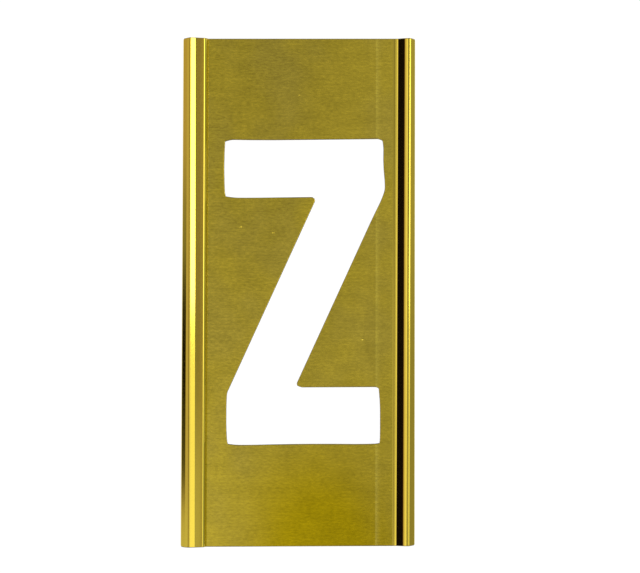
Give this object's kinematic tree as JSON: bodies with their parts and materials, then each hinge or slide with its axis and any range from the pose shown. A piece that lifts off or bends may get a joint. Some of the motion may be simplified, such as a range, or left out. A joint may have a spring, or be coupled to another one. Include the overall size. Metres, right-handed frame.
{
  "type": "lettering stencil",
  "caption": "Sheet brass stencil with a cut-out letter and formed side edges, a folded hook and a low rib, that slide lengthwise into the edges of its neighbours.",
  "frame": {"origin": "on the surface that the stencil lies on, under the middle of the sheet", "axes": "+X across the letter from the hook to the rib, +Y up the letter, +Z out of the stencil's face"},
  "size_m": [0.058, 0.127, 0.0025],
  "materials": {
    "brushed_brass": "fine brushed, grain across the letter",
    "bright_brass": "bright, burnished by forming"
  },
  "bodies": {
    "root": {"face_plate": "brushed_brass", "hook_rail": "bright_brass", "rib_rail": "bright_brass"}
  },
  "joints": []
}
